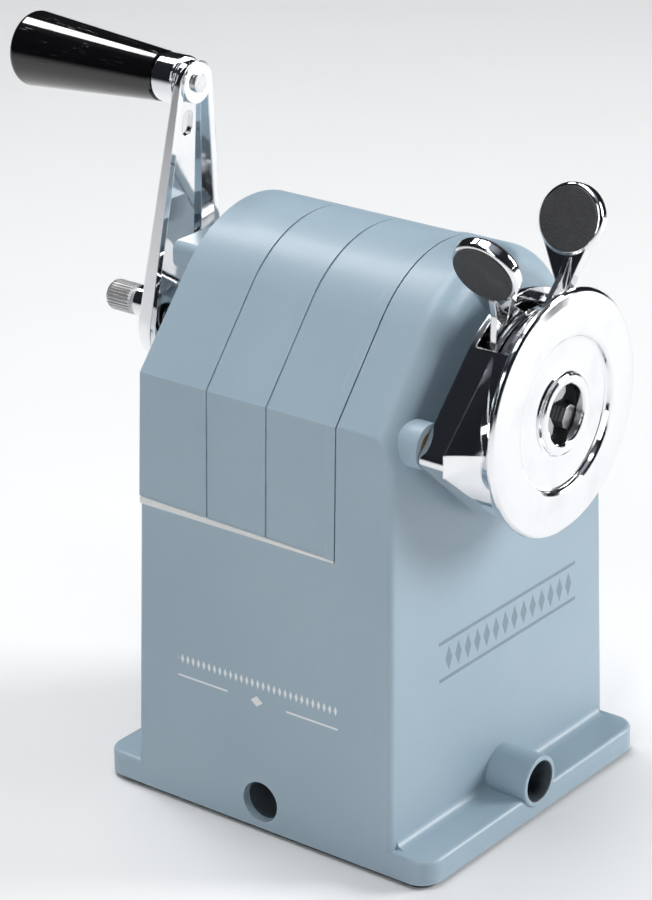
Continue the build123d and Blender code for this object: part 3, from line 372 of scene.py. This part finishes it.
# %% Gloss black handle
gloss_black = Finish("gloss_black_handle", IOR=1.52, Coat_Roughness=0.04)
scratch = gloss_black.cloud(0.0006, 4.0, (1.0, 0.06, 1.0)).ramp(0.62, 0.70)
haze = gloss_black.cloud(0.012, 3.0)
black = gloss_black.blend(haze, colour(0.0022, 0.0022, 0.0025), colour(0.005, 0.005, 0.0055))
black = gloss_black.blend(scratch * 0.25, black, colour(0.06, 0.06, 0.062))
gloss_black.feed(
    Base_Color=black,
    Roughness=0.06 + haze * 0.05 + scratch * 0.15,
    Coat_Weight=0.55 - scratch * 0.3,
    Normal=gloss_black.bump(haze * 0.5 + scratch * -0.3, 0.00005),
)

# %% Grained grey finger pads
pad_grey = Finish("grained_grey_pads", IOR=1.5)
grain = pad_grey.cells(0.00042)
rub = pad_grey.cloud(0.004, 3.0).ramp(0.45, 0.75)
grey = pad_grey.blend(grain.ramp(0.0, 0.8), colour(0.034, 0.034, 0.036), colour(0.056, 0.056, 0.058))
grey = pad_grey.blend(rub * 0.4, grey, colour(0.075, 0.075, 0.076))
pad_grey.feed(
    Base_Color=grey,
    Roughness=0.62 - rub * 0.12 + grain * 0.06,
    Normal=pad_grey.bump(grain, 0.00007, 0.0002),
)


# %% Rubber and white plastic
def dull_finish(name, light, dark, rough, grain, depth):
    """A matt moulding with fine grain and settled dust."""
    made = Finish(name, IOR=1.45)
    tooth = made.cells(grain)
    settled = made.cloud(0.006, 4.0).ramp(0.4, 0.75)
    tone = made.blend(settled, colour(*dark), colour(*light))
    made.feed(
        Base_Color=tone,
        Roughness=rough - tooth * 0.08 + settled * 0.08,
        Normal=made.bump(tooth, depth, 0.0002),
    )
    return made


pad_rubber = dull_finish("foot_rubber", (0.045, 0.045, 0.048), (0.022, 0.022, 0.024), 0.8, 0.0006, 0.0001)
strip_white = dull_finish("white_strips", (0.86, 0.87, 0.86), (0.80, 0.81, 0.80), 0.45, 0.0004, 0.00003)
print("finishes", len(bpy.data.materials))

# %% [markdown]
# ## Giving each carried-over part its finish
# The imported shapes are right, so they stay, and only their material slots change. A table
# from node to finish keeps it in one place, and shading is set smooth across shallow angles
# by the export already, so nothing in the meshes is touched.

# %% Finishes by node
FINISHES = {
    enamel: (
        "tower_housing", "tower_foot", "shavings_hood",
        "front_clamp_socket_tube", "side_clamp_socket_tube",
    ),
    zinc_sheet: ("base_plate",),
    zinc_screw: ("base_plate_screws", "ring_gear_screws", "nose_screws"),
    pad_rubber: ("rubber_base_pad",),
    strip_white: ("hood_seat_strips",),
    bronze: ("front_bearing_bush", "rear_bearing_bush", "guide_rod_bushes"),
    drawn_steel: (
        "internal_ring_gear", "cutter_pinion", "cutter_axle", "drive_spindle", "jaw_guide_plate",
        "lever_return_spring", "left_guide_rod", "right_guide_rod", "guide_rod_collars",
        "left_feed_spring", "right_feed_spring", "point_stop_rod", "handle_axle",
        "grip_retaining_clip",
    ),
    tool_steel: ("helical_cutter", "upper_jaw", "left_jaw", "right_jaw"),
    cast_zinc: ("cutter_carrier", "point_adjuster_knob"),
    chrome: (
        "nose_housing", "left_grip_lever", "right_grip_lever", "crank_hub", "crank_arm",
        "spindle_sleeve_nut", "handle_ferrule",
    ),
    turned_chrome: ("nose_face_disc",),
    pad_grey: ("left_lever_pads", "right_lever_pads"),
    gloss_black: ("handle_grip", "grip_end_plug"),
}
finished = set()
for finish, nodes in FINISHES.items():
    for node in nodes:
        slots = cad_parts[node].data.materials
        if len(slots) == 0:
            slots.append(finish.material)
        for index in range(len(slots)):
            slots[index] = finish.material
        finished.add(node)
print("finished", len(finished), "missing", sorted(set(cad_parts) - finished))

# %% [markdown]
# ## Coil springs on the guide rods
# Behind the front wall each rod carries a coil spring between the wall and a collar, and
# pulling the nose out squeezes it. A spring is a wire swept round a helix: a curve with a
# round bevel could do it, and a mesh swept ring by ring does the same with every point
# under control. The end coils close up, as on a ground compression spring.


# %% A swept coil
def coil_mesh(name, centre, radius, wire, start, end, turns, steps=18, sides=8):
    """Compression spring along Y with closed end turns."""
    shape = bmesh.new()
    rings = []
    count = int(turns * steps)
    for index in range(count + 1):
        share = index / count
        closed = 1.1 / turns
        if share < closed:
            run = share * 0.35
        elif share > 1 - closed:
            run = 1 - (1 - share) * 0.35
        else:
            inner = (share - closed) / (1 - 2 * closed)
            run = closed * 0.35 + inner * (1 - 2 * closed * 0.35)
        angle = 2 * math.pi * turns * share
        out = Vector((math.cos(angle), 0, math.sin(angle)))
        middle = Vector((centre.x, start + (end - start) * run, centre.z)) + out * radius
        ring = []
        for side in range(sides):
            tilt = 2 * math.pi * side / sides
            offset = math.cos(tilt) * out + Vector((0, math.sin(tilt), 0))
            ring.append(shape.verts.new(middle + wire * offset))
        rings.append(ring)
    for first, second in zip(rings, rings[1:]):
        for side in range(sides):
            after = (side + 1) % sides
            shape.faces.new((first[side], first[after], second[after], second[side]))
    shape.faces.new(rings[0][::-1])
    shape.faces.new(rings[-1])
    bmesh.ops.recalc_face_normals(shape, faces=shape.faces)
    return finish_mesh(shape, name)


def finish_mesh(shape, name):
    """Turns a bmesh into a smooth-shaded object in the scene."""
    mesh = bpy.data.meshes.new(name)
    shape.to_mesh(mesh)
    shape.free()
    for polygon in mesh.polygons:
        polygon.use_smooth = True
    thing = bpy.data.objects.new(name, mesh)
    bpy.context.scene.collection.objects.link(thing)
    return thing


# %% Both feed springs
WIRE = 0.0005
for side in ("left", "right"):
    low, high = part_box(side + "_feed_spring")
    middle = (low + high) / 2
    coil_radius = (high.x - low.x) / 2 - WIRE
    spring = coil_mesh(side + "_coil", middle, coil_radius, WIRE, low.y + WIRE, high.y - WIRE, 13)
    spring.data.materials.append(drawn_steel.material)
    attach(spring, "housing")
    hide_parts(side + "_feed_spring")
    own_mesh(spring)

# %% [markdown]
# ## Knurled point adjuster
# The knob at the end of the spindle is turned with two fingers to set how sharp the point
# gets, so its rim is knurled. Its straight ribs are cut into a turned profile: the mesh is
# a lathe form whose radius rises and falls round the rim, which gives crisp ribs with
# chamfered ends and needs no modifier.

# %% The knob's ribs
knob_low, knob_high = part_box("point_adjuster_knob")
knob_radius = (knob_high.x - knob_low.x) / 2
knob_mid_z = (knob_low.z + knob_high.z) / 2
RIBS = 30
RIB_DEPTH = 0.00022
BORE = 0.0016
knob_length = knob_high.y - knob_low.y
knob_profile = (
    (BORE, 0.0, 0), (knob_radius * 0.82, 0.0, 0), (knob_radius * 0.9, knob_length * 0.05, 0),
    (knob_radius * 0.9, knob_length * 0.10, 0), (knob_radius, knob_length * 0.18, 1),
    (knob_radius, knob_length * 0.84, 1), (knob_radius * 0.93, knob_length * 0.93, 0),
    (knob_radius * 0.80, knob_length * 0.99, 0), (knob_radius * 0.55, knob_length, 0),
    (knob_radius * 0.50, knob_length * 0.95, 0), (0.0002, knob_length * 0.94, 0),
)
shape = bmesh.new()
loops = []
for radius, rise, ribbed in knob_profile:
    loop = []
    for step in range(RIBS * 4):
        angle = 2 * math.pi * step / (RIBS * 4)
        groove = RIB_DEPTH if ribbed and step % 4 == 0 else 0.0
        reach = radius - groove
        loop.append(shape.verts.new((
            reach * math.cos(angle), knob_low.y + rise, knob_mid_z + reach * math.sin(angle))))
    loops.append(loop)
for first, second in zip(loops, loops[1:]):
    for step in range(len(first)):
        after = (step + 1) % len(first)
        shape.faces.new((first[step], first[after], second[after], second[step]))
shape.faces.new(loops[0])
shape.faces.new(loops[-1])
bmesh.ops.recalc_face_normals(shape, faces=shape.faces)
knob = finish_mesh(shape, "knurled_knob")
knob.data.materials.append(cast_zinc.material)
for polygon in knob.data.polygons:
    polygon.use_smooth = False
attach(knob, "adjuster")
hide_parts("point_adjuster_knob")
print("knob faces", len(knob.data.polygons))

# %% [markdown]
# ## Studio
# The machine stands on a pale floor that fills the view. Chrome shows whatever is round it,
# so the studio matters as much as the finish: a bright ceiling softbox, a large key light on
# the front right, a weak fill on the left and a darker band low down that gives the metal
# its black edges.

# %% Floor
FLOOR_REACH = 4.0
sheet = bmesh.new()
bmesh.ops.create_grid(sheet, x_segments=24, y_segments=24, size=FLOOR_REACH)
floor = finish_mesh(sheet, "floor")
floor_paint = Finish("pale_floor", Specular_IOR_Level=0.2)
speck = floor_paint.cloud(0.05, 4.0)
floor_paint.feed(
    Base_Color=floor_paint.blend(speck, colour(0.86, 0.86, 0.86), colour(0.88, 0.88, 0.88)),
    Roughness=0.75 + speck * 0.1,
)
floor.data.materials.append(floor_paint.material)
floor.location.z = CAD_BOX[0].z - 0.0001


# %% Lights
def softbox(name, place, aim, width, height, power, tint=(1.0, 1.0, 1.0)):
    """Area light that looks at one point."""
    light = bpy.data.lights.new(name, "AREA")
    light.shape = "RECTANGLE"
    light.size = width
    light.size_y = height
    light.energy = power
    light.color = tint
    holder = bpy.data.objects.new(name, light)
    holder.location = place
    holder.rotation_euler = (Vector(aim) - Vector(place)).to_track_quat("-Z", "Y").to_euler()
    bpy.context.scene.collection.objects.link(holder)
    return holder


AIM = (0.0, 0.0, 0.07)
softbox("key_front_right", (0.80, -0.85, 0.50), AIM, 0.45, 0.6, 12.5)
softbox("ceiling", (-0.05, 0.10, 1.1), AIM, 0.9, 0.40, 7.0)
softbox("left_fill", (-1.0, -0.30, 0.60), AIM, 0.25, 0.8, 3.2)
softbox("rear_strip", (0.13, 0.66, 0.98), (0.0, 0.06, 0.13), 0.34, 0.20, 3.0)

# %% Surroundings
world = bpy.data.worlds.new("studio")
world.use_nodes = True
bpy.context.scene.world = world
sky = world.node_tree
background = sky.nodes["Background"]
background.inputs["Strength"].default_value = 1.0
direction = sky.nodes.new("ShaderNodeTexCoord")
parts = sky.nodes.new("ShaderNodeSeparateXYZ")
sky.links.new(direction.outputs["Generated"], parts.inputs[0])
ramp = sky.nodes.new("ShaderNodeValToRGB")
ramp.color_ramp.elements[0].position = 0.0
ramp.color_ramp.elements[0].color = colour(0.012, 0.013, 0.016)
ramp.color_ramp.elements[1].position = 1.0
ramp.color_ramp.elements[1].color = colour(0.35, 0.38, 0.42)
middle_stop = ramp.color_ramp.elements.new(0.78)
middle_stop.color = colour(0.018, 0.020, 0.025)
sky.links.new(parts.outputs["Z"], ramp.inputs[0])
seen = sky.nodes.new("ShaderNodeLightPath")
choose = sky.nodes.new("ShaderNodeMix")
choose.data_type = "RGBA"
sky.links.new(seen.outputs["Is Camera Ray"], choose.inputs[0])
sky.links.new(ramp.outputs[0], choose.inputs[6])
choose.inputs[7].default_value = colour(0.93, 0.94, 0.95)
sky.links.new(choose.outputs[2], background.inputs["Color"])

# %% [markdown]
# ## Camera
# The view is from above the front left corner, with a long lens, which keeps the uprights
# nearly parallel. The lens shift is a few thousandths, only to frame the machine.

# %% Camera
camera_data = bpy.data.cameras.new("camera")
camera = bpy.data.objects.new("camera", camera_data)
bpy.context.scene.collection.objects.link(camera)
LOOK = Vector((0.7307, 0.5627, -0.3867))
ROLL = math.radians(-0.41)
camera.location = (-0.5034, -0.3762, 0.3385)
turn = LOOK.to_track_quat("-Z", "Y").to_matrix().to_4x4() @ Matrix.Rotation(ROLL, 4, "Z")
camera.rotation_mode = "QUATERNION"
camera.rotation_quaternion = turn.to_quaternion()
camera_data.sensor_width = 36.0
camera_data.lens = 128.8
camera_data.shift_x = -0.0047
camera_data.shift_y = -0.0039
camera_data.clip_start = 0.01
camera_data.clip_end = 50.0
bpy.context.scene.camera = camera
bpy.context.scene.view_settings.view_transform = "Standard"
